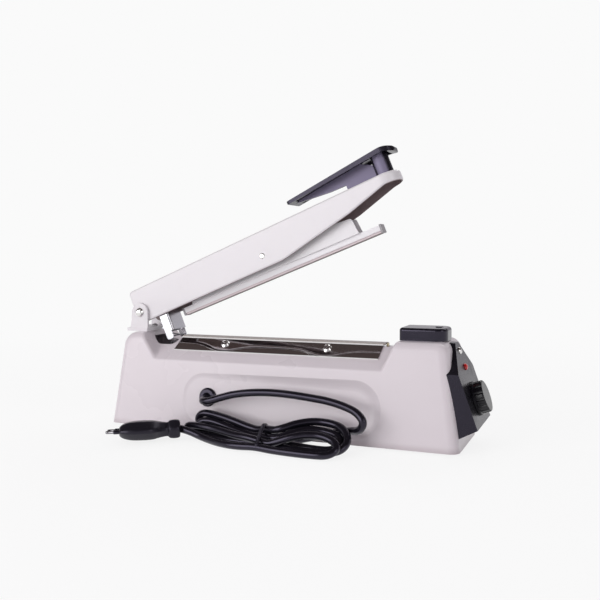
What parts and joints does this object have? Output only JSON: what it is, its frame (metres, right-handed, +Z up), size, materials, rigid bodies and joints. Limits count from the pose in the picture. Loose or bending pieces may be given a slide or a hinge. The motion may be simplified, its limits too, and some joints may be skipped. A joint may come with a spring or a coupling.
{
  "type": "impulse bag sealer",
  "caption": "Bench-top impulse bag sealer with a hinged pressure arm, sealing rail, clamp plates, timer dial and mains cord.",
  "frame": {"origin": "under the middle of the sealer without its cord, on the plane that the rubber feet stand on", "axes": "+X from the arm's hinge to the timer dial, +Y to the side away from the cord, +Z up"},
  "size_m": [0.3431, 0.1497, 0.2447],
  "materials": {
    "aluminium": "extruded aluminium",
    "arm_paint": "smooth pale enamel",
    "black_gloss": "glossy black moulding",
    "black_plastic": "satin black moulding",
    "blue_plastic": "blue boxed relay",
    "board": "green circuit board",
    "brass": "plain brass",
    "chrome": "bright plated steel",
    "coil_tape": "yellow tape over copper",
    "cream_plastic": "fine satin moulded shell",
    "grey_plastic": "grey moulding",
    "laminations": "stacked electrical steel",
    "lens_red": "clear red lens",
    "nichrome": "flat resistance strip",
    "plated_steel": "zinc plated steel",
    "polished_steel": "mirror polished plate",
    "ptfe": "woven non-stick film",
    "pvc": "black flexible PVC",
    "rubber": "black rubber",
    "silicone": "pale silicone rubber",
    "white_holder": "pale extruded aluminium",
    "white_plastic": "white moulding"
  },
  "bodies": {
    "housing": {"housing_shell": "cream_plastic", "base_plate": "plated_steel", "base_screws": "plated_steel", "transformer_screws": "plated_steel", "rubber_feet": "rubber", "hinge_bracket": "arm_paint", "hinge_bracket_screws": "plated_steel", "hinge_bolt": "chrome", "hinge_nut": "plated_steel", "return_spring": "plated_steel", "spring_seat": "white_plastic", "element_terminals": "brass", "ptfe_cover": "ptfe", "clamp_screws": "chrome", "seal_rail": "aluminium", "element_backing_film": "ptfe", "heating_element": "nichrome", "clamp_plate_near": "polished_steel", "clamp_plate_far": "polished_steel", "switch_block": "black_gloss", "block_screws": "plated_steel", "plunger_spring": "plated_steel", "micro_switch": "black_plastic", "switch_bracket": "plated_steel", "control_panel": "black_plastic", "panel_screws": "plated_steel", "indicator_lens": "lens_red", "potentiometer": "plated_steel", "potentiometer_nut": "plated_steel", "timer_board": "board", "timer_relay": "blue_plastic", "transformer_core": "laminations", "transformer_coil": "coil_tape", "cord_lead": "pvc", "cord_tail": "pvc", "cord_gland": "pvc", "cord_hank": "pvc", "hank_tie": "pvc", "plug_body": "pvc", "plug_pins": "chrome"},
    "arm": {"arm_channel": "arm_paint", "handle": "black_plastic", "handle_screws": "plated_steel", "spring_bracket": "plated_steel", "carrier_pin": "chrome"},
    "bar": {"bar_carrier": "arm_paint", "pressure_bar": "white_holder", "bar_screws": "plated_steel", "silicone_strip": "silicone", "bar_cap_front": "grey_plastic", "bar_cap_rear": "grey_plastic"},
    "dial": {"timer_knob": "black_gloss", "potentiometer_shaft": "aluminium"},
    "plunger": {"switch_plunger": "black_gloss"}
  },
  "joints": [
    {"name": "arm_hinge", "type": "hinge", "parent": "housing", "child": "arm", "pos_m": [-0.15145, 0, 0.103], "axis": [0, 1, 0], "range_deg": [0, 22.5], "stiffness_Nm_per_rad": 1, "springref_deg": -68.75, "deforming": ["return_spring"]},
    {"name": "bar_rock", "type": "hinge", "parent": "arm", "child": "bar", "pos_m": [-0.02431, 0, 0.1551], "axis": [0, 1, 0], "range_deg": [-1.5, 0]},
    {"name": "dial_turn", "type": "hinge", "parent": "housing", "child": "dial", "pos_m": [0.15857, 0, 0.0388], "axis": [0.9434, 0, 0.3316], "range_deg": [0, 270]},
    {"name": "plunger_press", "type": "slide", "parent": "housing", "child": "plunger", "axis": [0, 0, -1], "range_m": [0, 0.002], "stiffness_N_per_m": 800, "springref_m": -0.002, "deforming": ["plunger_spring"]}
  ],
  "couplings": [
    {"joint": "bar_rock", "follows": "arm_hinge", "ratio": -0.06311}
  ]
}
